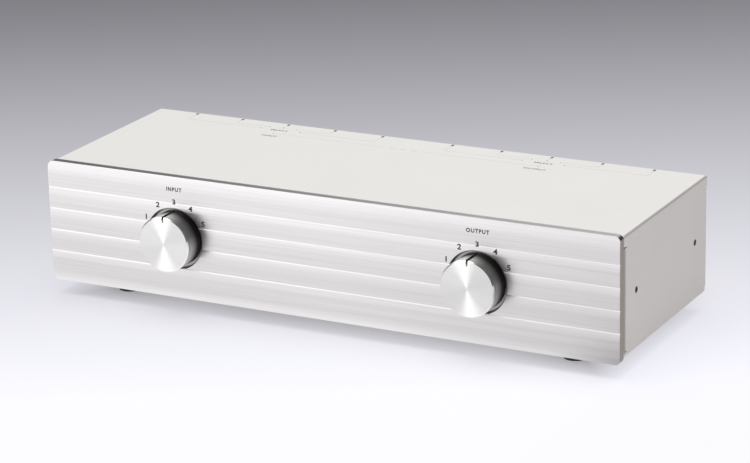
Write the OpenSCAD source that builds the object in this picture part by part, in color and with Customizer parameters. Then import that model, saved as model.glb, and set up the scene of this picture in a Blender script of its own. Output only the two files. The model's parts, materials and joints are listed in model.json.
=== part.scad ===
// Balanced line selector: a full-width audio case with two five-position rotary switches
// on the front and five input and five output pairs of three-pin sockets on the rear.
// Millimetres. +X is to the right, the front faces -Y, and Z = 0 is the surface it stands on.

/* [Front panel] */
// Width of the front panel
panel_w = 430; // [415:1:450]
// Height of the front panel
panel_h = 86.7; // [84:0.1:92]
// Thickness of the front panel
panel_t = 6.4; // [6:0.1:8]
// Height of the panel's lower edge above the surface
panel_lift = 10.3; // [8:0.1:14]
// Radius of the panel's corners, seen from the front
panel_corner_r = 4; // [0.5:0.1:5]
// Height of the lowest rib line above the panel's lower edge
rib_first = 22.2; // [18:0.1:24]
// Distance between rib lines
rib_pitch = 15.4; // [14:0.1:16]
// Number of rib lines
rib_count = 4; // [1:1:4]
// Set-back of each band under its rib line
rib_depth = 0.6; // [0.2:0.1:1]
// Height over which a band curves out to the face
rib_run = 7; // [4:0.5:10]
// Height of the steeper strip close under each rib line
lip_h = 1; // [0.4:0.1:2]
// Backward tilt of that strip in degrees
lip_tilt = 15; // [10:0.5:25]
// Set-back of the face at the panel's upper edge
brow_depth = 1.2; // [0.4:0.1:1.6]
// Height of the curve at the panel's upper edge
brow_run = 10.5; // [6:0.5:12]
// Set-back of the face at the panel's lower edge
chin_depth = 1; // [0.4:0.1:1.6]
// Height of the curve at the panel's lower edge
chin_run = 6; // [4:0.5:9]

/* [Knobs] */
// Distance of each knob's axis from the panel's end
knob_inset = 100.7; // [90:0.1:120]
// Height of the knob axes above the panel's lower edge
knob_rise = 42.7; // [40:0.1:46]
// Radius of a knob
knob_r = 19.5; // [16:0.1:21]
// How far a knob stands out of the panel's face
knob_proud = 14.5; // [10:0.1:22]
// How far a knob sinks into its recess
knob_sink = 3; // [2:0.1:3.4]
// Radial gap between a knob and its recess
recess_gap = 2.2; // [1:0.1:3]
// Depth of the knob recess
recess_d = 3.8; // [3.8:0.1:4.2]
// Chamfer around a knob's face
knob_chamfer = 0.8; // [0.3:0.1:1]
// Width of the pointer groove
pointer_w = 1.3; // [0.8:0.1:2]
// Depth of the pointer groove
pointer_d = 0.6; // [0.3:0.1:1]
// Length of the pointer groove on the knob's face
pointer_len = 4; // [2:0.5:8]
// Radius of the switch shafts
shaft_r = 3; // [2.5:0.1:3.2]

/* [Cover] */
// Depth from the panel's face to the rear edge of the cover
case_d = 150; // [140:1:200]
// Sheet thickness of the cover
cover_t = 1.2; // [0.8:0.1:1.5]
// How far the cover's sides lie inside the panel's ends
cover_inset = 0.2; // [0:0.1:1]
// How far the cover's top lies below the panel's upper edge
cover_drop = 1.6; // [0.5:0.1:3]
// Height of the cover's lower edge above the panel's lower edge
cover_rise = 4; // [3:0.1:4.4]
// Outside radius of the cover's top bends
cover_bend_r = 1.4; // [1.4:0.1:4]
// Width of the flanges folded in at the front and rear of the sides
flange_w = 9; // [6:0.5:12]
// Outside radius of the front flange bends
front_bend_r = 4; // [2:0.1:4.5]
// Outside radius of the rear flange bends
rear_bend_r = 1.4; // [1.4:0.1:4]
// Height of the flanges' lower ends above the panel's lower edge
flange_low = 7.2; // [6.8:0.1:10]
// Height of the flanges' upper ends above the panel's lower edge
flange_high = 76.6; // [60:0.1:77]
// Height of the relief notch at each end of a flange
relief_h = 1.2; // [0.8:0.1:1.6]
// Distance of the side screws from the front and rear edges of the cover
side_screw_inset = 21; // [17:0.5:30]
// Height of the front side screws above the panel's lower edge
side_screw_rise = 43.3; // [30:0.1:50]
// How much higher the rear side screws are
side_screw_step = 0.8; // [0:0.1:3]

/* [Chassis] */
// Sheet thickness of the tray and the rear panel
sheet_t = 1.5; // [1.2:0.1:1.8]
// Outside radius of the tray and rear panel bends
sheet_bend_r = 2.5; // [2:0.1:4]
// Height of the tray's underside above the panel's lower edge
tray_rise = 4.5; // [4.5:0.1:5]
// Width of the tray's side tabs
tab_w = 24; // [16:1:28]
// Distance from the side screws up to the top of the tabs
tab_above = 9; // [6:1:20]
// Width of the rear panel's bottom flange
rear_flange_w = 16; // [12:1:17]
// Distance of the outer front panel screws from the panel's ends
panel_screw_inset = 25; // [20:1:45]
// Height of the lower front panel screws above the panel's lower edge
panel_screw_low = 15; // [12:1:18]
// Height of the upper front panel screws above the panel's lower edge
panel_screw_high = 72; // [66:1:76]
// Distance of the inner rear panel screws from the middle
rear_screw_x = 60; // [40:1:80]
// Distance of the outer rear panel screws from the panel's ends
rear_screw_inset = 65; // [55:1:95]
// Radius of the cover screws
cover_screw_r = 1.25; // [1:0.05:1.5]
// Radius of the cover screws' countersunk heads
cover_head_r = 2.1; // [1.9:0.05:2.3]
// Radius of the rear panel screws
rear_screw_r = 1.5; // [1.25:0.05:1.75]
// Radius of the front panel and foot screws
large_screw_r = 2; // [1.5:0.05:2.2]

/* [Feet] */
// Distance of the feet from the panel's ends
foot_side_inset = 44; // [36:1:65]
// Distance of the feet from the panel's face and from the cover's rear edge
foot_inset = 30; // [27:1:40]
// Radius of a foot where it stands
foot_r = 8; // [7:0.5:11]
// How much wider a foot is at its top
foot_flare = 2; // [0:0.5:3]
// Radius of the screw recess in a foot
foot_recess_r = 4.8; // [4.4:0.1:5.5]
// Thickness of the foot under the tray, above the screw recess
foot_web = 4; // [3:0.5:6]

/* [Sockets] */
// Distance of the innermost socket columns from the middle
column_first = 27.5; // [22:0.5:30]
// Distance of the outermost socket columns from the panel's ends
column_margin = 35.5; // [32:0.5:50]
// Distance between the two rows of sockets
row_pitch = 35.2; // [33:0.1:38]
// Width of a socket's flange
socket_w = 26; // [26:0.1:28]
// Height of a socket's flange
socket_h = 31; // [31:0.1:32]
// Corner radius of a socket's flange
socket_corner_r = 3; // [1:0.5:4]
// Thickness of a socket's flange
socket_flange_t = 2.2; // [2:0.1:3]
// Radius of a socket's barrel
socket_r = 11.8; // [11.6:0.1:12]
// Length of a socket's barrel behind the rear panel's outer face
socket_depth = 18; // [16:0.5:24]
// Thickness of the insulator at the bottom of a socket
insert_base = 5; // [3:0.5:6]
// Bore radius of a female socket
female_bore_r = 9.5; // [9.4:0.05:9.7]
// Radius of the female insert's post
post_r = 7.8; // [7:0.05:7.9]
// Bore radius of a male socket
male_bore_r = 8; // [7.6:0.05:8.4]
// Radius of a contact pin
pin_r = 1.2; // [1:0.05:1.3]
// Distance of each contact from the socket's axis
pin_offset = 3.5; // [3.2:0.1:4]
// How far the pins stay behind the socket's face
pin_back = 1.5; // [0.5:0.1:3]
// Wall of a female contact sleeve
sleeve_wall = 0.5; // [0.3:0.05:0.6]
// Length of the solder cups behind a socket
cup_len = 6; // [4:0.5:8]
// Horizontal distance of the flange screws from the socket's axis
flange_screw_x = 9.5; // [9.4:0.1:10]
// Vertical distance of the flange screws from the socket's axis
flange_screw_z = 12; // [11.8:0.1:12.4]
// Width of a latch button
latch_w = 7; // [5:0.1:7.2]
// Height of a latch button
latch_h = 1.9; // [1.5:0.1:2]
// Length of a latch behind the flange's face
latch_len = 8; // [6:0.5:10]
// How far a latch button stands out of the flange
latch_proud = 1.5; // [1:0.1:2]
// How far a latch button can be pushed in
latch_travel = 1.5; // [1:0.1:2]

/* [Switches] */
// Radius of the switch bush
bush_r = 4.5; // [4:0.1:5]
// Length of the switch bush in front of the index plate
bush_len = 6.5; // [6:0.1:7.5]
// Width of the bush nut across its flats
nut_af = 14; // [12:0.1:14.5]
// Thickness of the bush nut
nut_t = 2; // [1.5:0.1:2]
// Thickness of the bush washer
washer_t = 0.5; // [0.3:0.1:0.5]
// Radius of the hole behind the knob that clears the bush nut
nut_hole_r = 9; // [8.8:0.1:12]
// Radius of the index plate
index_r = 17; // [17:0.5:20]
// Thickness of the index plate
index_t = 1.5; // [1:0.1:2]
// Radius of the detent housing
housing_r = 19; // [18.5:0.5:20]
// Length of the detent housing
housing_len = 9; // [7:0.5:14]
// Distance from the detent housing to the first deck
deck_gap = 7; // [5:0.5:10]
// Distance between decks
deck_pitch = 12; // [9:0.5:16]
// Number of decks
deck_count = 3; // [1:1:4]
// Radius of a deck
deck_r = 20; // [19.5:0.5:22]
// Thickness of a deck
deck_t = 1.6; // [1.2:0.1:2]
// Radius of a rotor
rotor_r = 9; // [7:0.1:9.5]
// Reach of the rotor's wiper
wiper_r = 12.5; // [11.5:0.1:12.6]
// Length of the contact clips' tails beyond the deck
tail_len = 5; // [5:0.5:7]
// Radius of the circle on which the tie screws stand
tie_circle_r = 16; // [16:0.1:16.4]
// Radius of the spacer tubes
spacer_r = 2.6; // [2.3:0.1:2.6]

/* [Wiring] */
// Radius of a cable
cable_r = 2.75; // [2.5:0.05:3]
// Reach of a cable's straight pull from a socket or a clip
cable_pull = 32; // [20:1:40]
// How far the short link cable bows to the rear
short_link_bow = 20; // [15:1:30]
// How far the long link cable bows to the rear
long_link_bow = 46; // [40:1:55]

/* [Fits] */
// Radial clearance of a turning shaft in its bush
run_fit = 0.05; // [0.03:0.01:0.08]
// Radial clearance of a piece pushed or screwed into another
seat_fit = 0.05; // [0.02:0.01:0.1]
// Radial clearance of a screw in a drilled hole
drill_fit = 0.15; // [0.1:0.05:0.3]
// Clearance between sheets that slide together
sheet_gap = 0.1; // [0.05:0.05:0.2]
// Clearance between pieces that move past each other
move_gap = 0.3; // [0.25:0.05:0.4]

/* [Hidden] */
$fn = 64;
arc_fn = 360;
over = 1;
column_count = 5;
columns = [0 : column_count - 1];
rows = [-1, 1];
sides = [-1, 1];
input_side = -1;
output_side = 1;

// Depths
depth_all = knob_proud + case_d - cover_t - sheet_gap + socket_flange_t + latch_proud;
y_face = knob_proud - depth_all / 2;
y_panel_back = y_face + panel_t;
y_cover_front = y_panel_back + sheet_gap;
y_back = y_face + case_d;
y_rear_out = y_back - cover_t - sheet_gap;
y_rear_in = y_rear_out - sheet_t;

// Heights
z_panel = panel_lift;
z_axis = z_panel + knob_rise;
z_top = z_panel + panel_h - cover_drop;
z_cover = z_panel + cover_rise;
z_tray = z_panel + tray_rise;
z_floor = z_tray + sheet_t;
lid_gap = 0.5;
z_lid = z_top - cover_t - lid_gap;
z_rows = (z_floor + z_lid) / 2;
z_side_screw = z_panel + side_screw_rise;
z_flange_low = z_panel + flange_low;
z_flange_high = z_panel + flange_high;

// Widths
side_fit = 0.2;
x_cover = panel_w / 2 - cover_inset;
x_tab = x_cover - cover_t - side_fit;
x_plate = x_tab - sheet_bend_r - sheet_gap;
x_rear = x_cover - rear_bend_r - sheet_gap;
wall_gap = 1.6;
x_wall = x_cover - flange_w - wall_gap;
tab_leg = sheet_bend_r + 4;
side_screw_places = [
    [y_cover_front + side_screw_inset, z_side_screw],
    [y_back - side_screw_inset, z_side_screw + side_screw_step]
];
knob_spread = panel_w / 2 - knob_inset;
foot_x = panel_w / 2 - foot_side_inset;
column_pitch = (panel_w / 2 - column_margin - column_first) / (column_count - 1);

// Screws
clinch_r = 3;
clinch_t = 2.5;
panel_thread = 4;
panel_screw_x = panel_w / 2 - panel_screw_inset;
panel_screw_xs = [-panel_screw_x, 0, panel_screw_x];
panel_screw_zs = [z_panel + panel_screw_low, z_panel + panel_screw_high];
rear_screw_xs = [rear_screw_x, panel_w / 2 - rear_screw_inset];
y_rear_screw = y_rear_in - (rear_flange_w - sheet_t) / 2;
socket_screw_r = 1.5;
socket_screw_len = 6;
socket_head_r = 2.9;
set_screw_r = 1.5;
set_screw_len = 6;
tie_r = 1.45;
tie_thread = 5;
tie_angles = [45, 225];

// Feet
foot_h = z_tray;
foot_ys = [y_face + foot_inset, y_back - foot_inset];

// Knobs, measured forward from the panel's face along each knob's axis
back_recess_r = 12;
back_recess_d = 4;
back_floor = back_recess_d - knob_sink;
shaft_reach = 9.2;
knob_wall = 3;
shaft_tip = min(shaft_reach, knob_proud - knob_wall);
flat_d = 0.5;
flat_y = shaft_r - flat_d;
set_screw_z = (back_floor + shaft_tip) / 2;
recess_r = knob_r + recess_gap;
recess_chamfer = 0.4;

// Bands: each curve leaves the face at a faint crease and not along a tangent
lap_crease = 0.02;

// Switches, measured forward from the panel's face along each switch's axis
mount_z = -(panel_t + sheet_t);
housing_z = mount_z - index_t;
stack_z = housing_z - housing_len;
function deck_z(k) = stack_z - deck_gap - k * deck_pitch;
last_deck = deck_count - 1;
clip_t = 0.5;
clip_w = 2.2;
clip_in_r = rotor_r + move_gap + 1;
clip_out_r = deck_r + tail_len;
clip_z = deck_z(last_deck) - deck_t - clip_t;
wiper_t = 0.6;
wiper_w = 3;
hub_r = shaft_r + 2;
shaft_end = clip_z - move_gap - wiper_t - 2;
lug_r = 1.2;
lug_y = 12;
detents = 12;

// Sockets, measured rearward from the rear panel's outer face
socket_hole_r = socket_r + drill_fit;
base_top = insert_base - socket_depth;
pin_tip = socket_flange_t - pin_back;
cup_end = -socket_depth - cup_len;
sleeve_r = pin_r + seat_fit + sleeve_wall;
latch_y = post_r + move_gap + 0.3;
latch_floor = socket_flange_t - latch_len;
pin_spots = [[-pin_offset, 0], [pin_offset, 0], [0, -pin_offset]];

// Cables
cable_sides = 8;
cable_steps = 8;
clip_mid_r = deck_r + tail_len / 2;
clip_step = 30;
y_clip = y_face - clip_z;
y_cup = y_rear_out + cup_end;

// Colours
silver = "#d9d9d7";
off_white = "#e2e1db";
zinc = "#b9bdc0";
black = "#1b1b1c";
nickel = "#a9a8a4";
gold = "#c9a45a";
phenolic = "#8a5a34";
jacket = "#3b3d42";

// Placing

// An outline with x to the rear and y up, drawn out along X
module along_x(length) {
    rotate([90, 0, 90]) linear_extrude(length, center = true) children();
}

// An outline with x to the right and y up, drawn out from y0 to y1
module along_y(y0, y1) {
    translate([0, y1, 0]) rotate([90, 0, 0]) linear_extrude(y1 - y0) children();
}

// Z runs forward out of the panel, from the panel's face on a knob's axis
module at_knob(side) {
    translate([side * knob_spread, y_face, z_axis]) rotate([90, 0, 0]) children();
}

// Z runs rearward out of the rear panel, from its outer face on a socket's axis
module at_socket(side, column, row) {
    translate([socket_x(side, column), y_rear_out, socket_z(row)]) rotate([90, 0, 180]) children();
}

module at_sockets(side) {
    for (column = columns, row = rows) at_socket(side, column, row) children();
}

// Z runs out of the case's left or right side at the side screws
module at_side_screws() {
    for (side = sides, place = side_screw_places) {
        translate([side * x_cover, place[0], place[1]]) rotate([0, side * 90, 0]) children();
    }
}

function socket_x(side, column) = side * (column_first + column * column_pitch);
function socket_z(row) = z_rows + row * row_pitch / 2;

// Shared shapes

module rounded_rect(w, h, r) {
    square([w - 2 * r, h], center = true);
    square([w, h - 2 * r], center = true);
    for (x = sides, y = sides) translate([x * (w / 2 - r), y * (h / 2 - r)]) circle(r);
}

// A bent sheet, its outer corner at the origin and its legs along +x and +y
module bent_sheet(a, b, t, r) {
    translate([r, 0]) square([a - r, t]);
    translate([0, r]) square([t, b - r]);
    translate([r, r]) intersection() {
        difference() {
            circle(r);
            circle(r - t);
        }
        translate([-r, -r]) square(r);
    }
}

// A screw with its head above z = 0 and its shank below
module pan_screw(r, length) {
    head_r = 1.8 * r;
    head_h = 1.1 * r;
    rim_h = 0.5 * head_h;
    slot_w = 0.36 * r;
    slot_l = 1.1 * head_r;
    difference() {
        union() {
            cylinder(h = rim_h, r = head_r);
            translate([0, 0, rim_h]) cylinder(h = head_h - rim_h, r1 = head_r, r2 = 0.7 * head_r);
        }
        for (turn = [0, 90]) {
            rotate(turn) translate([-slot_l / 2, -slot_w / 2, rim_h]) cube([slot_l, slot_w, head_h]);
        }
    }
    translate([0, 0, -length]) cylinder(h = length + rim_h / 2, r = r);
}

// A countersunk screw with its head flush with z = 0
module flat_screw(r, head_r, length) {
    head_h = head_r - r;
    slot_w = 0.36 * r;
    slot_l = 2.2 * r;
    difference() {
        union() {
            translate([0, 0, -head_h]) cylinder(h = head_h, r1 = r, r2 = head_r);
            translate([0, 0, -length]) cylinder(h = length - head_h / 2, r = r);
        }
        for (turn = [0, 90]) {
            rotate(turn) translate([-slot_l / 2, -slot_w / 2, -head_h / 2]) cube([slot_l, slot_w, head_h]);
        }
    }
}

// The hole for a countersunk screw in a sheet that lies under z = 0
module flat_hole(r, head_r, thickness) {
    cone_h = head_r - r + drill_fit + over;
    translate([0, 0, -thickness - over]) cylinder(h = thickness + 2 * over, r = r + drill_fit);
    translate([0, 0, over - cone_h]) cylinder(h = cone_h, r1 = r, r2 = r + cone_h);
}

// Case

// Radius of a curve that leaves the face upright and is set back by a depth at the end of its run
function lap_r(run, depth) = (run * run + depth * depth) / (2 * depth);

// The space in front of a band that curves from the face at z = 0 to a set-back at z = run
module lap_cut(run, depth) {
    r = lap_r(run, depth);
    difference() {
        translate([-over, 0]) square([depth + over, run]);
        translate([r - lap_crease, 0]) circle(r, $fn = arc_fn);
    }
}

// The space in front of the steeper strip at the top of a band, which shows as a thin line
module lip_cut() {
    r = lap_r(rib_run, rib_depth);
    start = r - lap_crease - sqrt(pow(r, 2) - pow(rib_run - lip_h, 2));
    translate([0, rib_run - lip_h])
        polygon([[-over, 0], [start, 0], [start + lip_h * tan(lip_tilt), lip_h], [-over, lip_h]]);
}

module panel_profile() {
    difference() {
        square([panel_t, panel_h]);
        for (k = [0 : rib_count - 1]) {
            translate([0, rib_first + k * rib_pitch - rib_run]) {
                lap_cut(rib_run, rib_depth);
                lip_cut();
            }
        }
        translate([0, panel_h - brow_run]) lap_cut(brow_run, brow_depth);
        translate([0, chin_run]) mirror([0, 1]) lap_cut(chin_run, chin_depth);
    }
}

// The round recess, its chamfered rim and the hole that clears the bush nut
module knob_recess() {
    rotate_extrude($fn = 128) polygon([
        [0, -panel_t - over],
        [nut_hole_r, -panel_t - over],
        [nut_hole_r, -recess_d],
        [recess_r, -recess_d],
        [recess_r, -recess_chamfer],
        [recess_r + recess_chamfer + over, over],
        [0, over]
    ]);
}

module front_panel() {
    color(silver) difference() {
        intersection() {
            translate([0, y_face, z_panel]) along_x(panel_w) panel_profile();
            translate([0, 0, z_panel + panel_h / 2]) along_y(y_face - over, y_panel_back + over)
                rounded_rect(panel_w, panel_h, panel_corner_r);
        }
        for (side = sides) at_knob(side) knob_recess();
        for (x = panel_screw_xs, z = panel_screw_zs) translate([x, y_panel_back + over, z])
            rotate([90, 0, 0]) cylinder(h = panel_thread + seat_fit + over, r = large_screw_r + seat_fit);
    }
}

module cover_channel() {
    for (flip = [0, 1]) mirror([flip, 0]) translate([-x_cover, z_top]) mirror([0, 1])
        bent_sheet(x_cover + over, z_top - z_cover, cover_t, cover_bend_r);
}

// The folded flange at the front of the right-hand side
module cover_flange(bend_r) {
    translate([0, 0, z_flange_low]) linear_extrude(z_flange_high - z_flange_low)
        translate([x_cover, y_cover_front]) mirror([1, 0])
            bent_sheet(flange_w, bend_r + over, cover_t, bend_r);
}

// The end of the side wall that folds into the flange, and its two relief notches
module cover_flange_cut(bend_r) {
    translate([x_cover - cover_bend_r - over, y_cover_front - over, z_flange_low - relief_h])
        cube([cover_bend_r + 2 * over, bend_r + over, z_flange_high - z_flange_low + 2 * relief_h]);
    for (z = [z_flange_low - relief_h, z_flange_high])
        translate([x_cover - cover_bend_r - over, y_cover_front - over, z])
            cube([cover_bend_r + 2 * over, bend_r + 2 * over, relief_h]);
}

// The corner of the side wall under the flange
module cover_corner_cut(bend_r) {
    translate([x_cover - cover_bend_r - over, y_cover_front - over, z_cover - over])
        cube([cover_bend_r + 2 * over, bend_r + 2 * over, z_flange_low - z_cover + over]);
}

// Copies for the left and right sides
module both_sides() {
    for (flip = [0, 1]) mirror([flip, 0, 0]) children();
}

// Turns the front end of the cover to its rear end
module to_rear() {
    translate([0, y_cover_front + y_back, 0]) mirror([0, 1, 0]) children();
}

module top_cover() {
    color(off_white) {
        difference() {
            along_y(y_cover_front, y_back) cover_channel();
            both_sides() {
                cover_flange_cut(front_bend_r);
                to_rear() {
                    cover_flange_cut(rear_bend_r);
                    cover_corner_cut(rear_bend_r);
                }
            }
            at_side_screws() flat_hole(cover_screw_r, cover_head_r, cover_t);
        }
        both_sides() {
            cover_flange(front_bend_r);
            to_rear() cover_flange(rear_bend_r);
        }
    }
}

module side_tab(side, y, z) {
    tab_top = z + tab_above;
    difference() {
        translate([side * x_tab, 0, z_tray]) along_y(y - tab_w / 2, y + tab_w / 2)
            mirror([side > 0 ? 1 : 0, 0]) bent_sheet(tab_leg, tab_top - z_tray, sheet_t, sheet_bend_r);
        translate([side * x_tab, y, z]) rotate([0, 90, 0])
            cylinder(h = 4 * sheet_t, r = cover_screw_r + drill_fit, center = true);
    }
}

module chassis_tray() {
    tray_d = y_rear_in - y_panel_back;
    wing_y = y_cover_front + front_bend_r + flange_w;
    color(zinc) difference() {
        union() {
            translate([0, y_panel_back, z_tray]) along_x(2 * x_wall)
                bent_sheet(tray_d, z_lid - z_tray, sheet_t, sheet_bend_r);
            translate([-x_plate, wing_y, z_tray]) cube([2 * x_plate, y_rear_in - wing_y, sheet_t]);
            for (side = sides, place = side_screw_places) side_tab(side, place[0], place[1]);
        }
        for (side = sides) at_knob(side) translate([0, 0, mount_z - over]) {
            cylinder(h = sheet_t + 2 * over, r = bush_r + drill_fit);
            translate([0, lug_y, 0]) cylinder(h = sheet_t + 2 * over, r = lug_r + drill_fit);
        }
        for (x = panel_screw_xs, z = panel_screw_zs) translate([x, y_panel_back - over, z])
            rotate([-90, 0, 0]) cylinder(h = sheet_t + 2 * over, r = large_screw_r + drill_fit);
        for (side = sides, x = rear_screw_xs) translate([side * x, y_rear_screw, z_tray - over])
            cylinder(h = sheet_t + 2 * over, r = rear_screw_r + drill_fit);
        for (side = sides, y = foot_ys) translate([side * foot_x, y, z_tray - over])
            cylinder(h = sheet_t + 2 * over, r = large_screw_r + drill_fit);
    }
}

module rear_panel() {
    flange_x = x_tab - sheet_t - over;
    color(off_white) difference() {
        union() {
            translate([0, y_rear_out, z_floor]) along_x(2 * flange_x) mirror([1, 0])
                bent_sheet(rear_flange_w, z_lid - z_floor, sheet_t, sheet_bend_r);
            translate([-x_rear, y_rear_in, z_floor + sheet_bend_r])
                cube([2 * x_rear, sheet_t, z_lid - z_floor - sheet_bend_r]);
        }
        for (side = sides) at_sockets(side) translate([0, 0, -sheet_t - over]) {
            cylinder(h = sheet_t + 2 * over, r = socket_hole_r);
            at_flange_screws() cylinder(h = sheet_t + 2 * over, r = socket_screw_r + drill_fit);
        }
        for (side = sides, x = rear_screw_xs) translate([side * x, y_rear_screw, z_floor - over])
            cylinder(h = sheet_t + 2 * over, r = rear_screw_r + seat_fit);
    }
}

module cover_screws() {
    reach = cover_t + side_fit + sheet_t + clinch_t;
    color(black) at_side_screws() flat_screw(cover_screw_r, cover_head_r, reach);
}

module cover_nuts() {
    depth = cover_t + side_fit + sheet_t + clinch_t;
    color(zinc) at_side_screws() translate([0, 0, -depth]) difference() {
        cylinder(h = clinch_t, r = clinch_r);
        translate([0, 0, -over]) cylinder(h = clinch_t + 2 * over, r = cover_screw_r + seat_fit);
    }
}

module front_panel_screws() {
    color(zinc) for (x = panel_screw_xs, z = panel_screw_zs) translate([x, y_panel_back + sheet_t, z])
        rotate([-90, 0, 0]) pan_screw(large_screw_r, sheet_t + panel_thread);
}

module rear_panel_screws() {
    color(zinc) for (side = sides, x = rear_screw_xs) translate([side * x, y_rear_screw, z_tray])
        mirror([0, 0, 1]) pan_screw(rear_screw_r, 2 * sheet_t + 2);
}

module foot(side, y) {
    color(black) translate([side * foot_x, y, 0]) difference() {
        cylinder(h = foot_h, r1 = foot_r, r2 = foot_r + foot_flare);
        translate([0, 0, -over]) cylinder(h = foot_h - foot_web + over, r = foot_recess_r);
        cylinder(h = foot_h + over, r = large_screw_r + drill_fit);
    }
}

module foot_screws() {
    color(zinc) for (side = sides, y = foot_ys) translate([side * foot_x, y, foot_h - foot_web])
        mirror([0, 0, 1]) pan_screw(large_screw_r, foot_web + sheet_t + 3);
}

// Sockets

module at_flange_screws() {
    for (turn = sides) translate([-turn * flange_screw_x, turn * flange_screw_z, 0]) children();
}

module socket_shell(bore_r) {
    difference() {
        union() {
            linear_extrude(socket_flange_t) rounded_rect(socket_w, socket_h, socket_corner_r);
            translate([0, 0, -socket_depth]) cylinder(h = socket_depth + over, r = socket_r);
        }
        translate([0, 0, -socket_depth - over])
            cylinder(h = socket_depth + socket_flange_t + 2 * over, r = bore_r);
        at_flange_screws() translate([0, 0, socket_flange_t])
            flat_hole(socket_screw_r, socket_head_r, socket_flange_t);
    }
}

module latch_slot() {
    slot_w = latch_w + 2 * move_gap;
    slot_d = latch_len + latch_travel + move_gap;
    translate([-slot_w / 2, latch_y - move_gap, socket_flange_t - slot_d])
        cube([slot_w, latch_h + 2 * move_gap, slot_d + over]);
}

module input_shells() {
    color(nickel) at_sockets(input_side) difference() {
        socket_shell(female_bore_r);
        latch_slot();
    }
}

module input_inserts() {
    color(black) at_sockets(input_side) difference() {
        union() {
            translate([0, 0, -socket_depth]) cylinder(h = insert_base, r = female_bore_r - seat_fit);
            translate([0, 0, -socket_depth]) cylinder(h = socket_depth + pin_tip, r = post_r);
        }
        for (spot = pin_spots) translate([spot[0], spot[1], -socket_depth - over])
            cylinder(h = socket_depth + socket_flange_t + over, r = sleeve_r + seat_fit);
    }
}

module input_contacts() {
    color(gold) at_sockets(input_side) for (spot = pin_spots) translate([spot[0], spot[1], 0]) {
        difference() {
            translate([0, 0, -socket_depth]) cylinder(h = socket_depth, r = sleeve_r);
            translate([0, 0, base_top]) cylinder(h = over - base_top, r = pin_r + seat_fit);
        }
        translate([0, 0, cup_end]) cylinder(h = cup_len + over, r = pin_r);
    }
}

module output_shells() {
    color(nickel) at_sockets(output_side) socket_shell(male_bore_r);
}

module output_inserts() {
    color(black) at_sockets(output_side) difference() {
        translate([0, 0, -socket_depth]) cylinder(h = insert_base, r = male_bore_r - seat_fit);
        for (spot = pin_spots) translate([spot[0], spot[1], -socket_depth - over])
            cylinder(h = insert_base + 2 * over, r = pin_r + seat_fit);
    }
}

module output_pins() {
    nose = 0.5 * pin_r;
    color(gold) at_sockets(output_side) for (spot = pin_spots) translate([spot[0], spot[1], 0]) {
        translate([0, 0, cup_end]) cylinder(h = pin_tip - nose - cup_end, r = pin_r);
        translate([0, 0, pin_tip - nose]) cylinder(h = nose, r1 = pin_r, r2 = pin_r - nose);
    }
}

module socket_screws() {
    color(black) for (side = sides) at_sockets(side) at_flange_screws()
        translate([0, 0, socket_flange_t]) flat_screw(socket_screw_r, socket_head_r, socket_screw_len);
}

// The latch of one input, counted 1 to 5 from the left as seen from the front
module input_latch(number, row) {
    color(zinc) at_socket(input_side, 5 - number, row) translate([-latch_w / 2, latch_y, latch_floor])
        cube([latch_w, latch_h, latch_len + latch_proud]);
}

// Switches

module knob(side) {
    color(silver) at_knob(side) difference() {
        translate([0, 0, -knob_sink]) union() {
            cylinder(h = knob_sink + knob_proud - knob_chamfer, r = knob_r, $fn = 128);
            translate([0, 0, knob_sink + knob_proud - knob_chamfer])
                cylinder(h = knob_chamfer, r1 = knob_r, r2 = knob_r - knob_chamfer, $fn = 128);
        }
        translate([0, 0, -knob_sink - over]) cylinder(h = back_recess_d + over, r = back_recess_r);
        cylinder(h = shaft_tip + seat_fit, r = shaft_r + seat_fit);
        translate([0, 0, set_screw_z]) rotate([90, 0, 0]) cylinder(h = knob_r, r = set_screw_r + seat_fit);
        translate([-pointer_w / 2, knob_r - pointer_d, -knob_sink - over])
            cube([pointer_w, knob_r, knob_sink + knob_proud + 2 * over]);
        translate([-pointer_w / 2, knob_r - pointer_len, knob_proud - pointer_d])
            cube([pointer_w, knob_r, pointer_d + over]);
    }
}

module set_screw(side) {
    color(black) at_knob(side) translate([0, -flat_y, set_screw_z]) rotate([90, 0, 0]) difference() {
        cylinder(h = set_screw_len, r = set_screw_r);
        translate([0, 0, set_screw_len - set_screw_r])
            cylinder(h = set_screw_r + over, r = set_screw_r / 2, $fn = 6);
    }
}

module shaft(side) {
    color(zinc) at_knob(side) difference() {
        translate([0, 0, shaft_end]) cylinder(h = shaft_tip - shaft_end, r = shaft_r);
        translate([-shaft_r, -flat_y - shaft_r, back_floor]) cube([2 * shaft_r, shaft_r, shaft_tip]);
    }
}

module rotors(side) {
    hub_len = deck_t + clip_t + move_gap + wiper_t;
    color(black) at_knob(side) for (k = [0 : last_deck]) translate([0, 0, deck_z(k)]) difference() {
        union() {
            translate([0, 0, -deck_t]) cylinder(h = deck_t, r = rotor_r);
            translate([0, 0, -hub_len]) cylinder(h = hub_len, r = hub_r);
            translate([-wiper_w / 2, -wiper_r, -hub_len]) cube([wiper_w, 2 * wiper_r, wiper_t]);
        }
        translate([0, 0, -hub_len - over]) cylinder(h = hub_len + 2 * over, r = shaft_r + seat_fit);
    }
}

module bush(side) {
    color(nickel) at_knob(side) difference() {
        union() {
            translate([0, 0, housing_z]) cylinder(h = index_t, r = index_r);
            translate([0, 0, housing_z]) cylinder(h = index_t + bush_len, r = bush_r);
            translate([0, lug_y, housing_z]) cylinder(h = index_t + sheet_t, r = lug_r);
        }
        translate([0, 0, housing_z - over])
            cylinder(h = index_t + bush_len + 2 * over, r = shaft_r + run_fit);
    }
}

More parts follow.
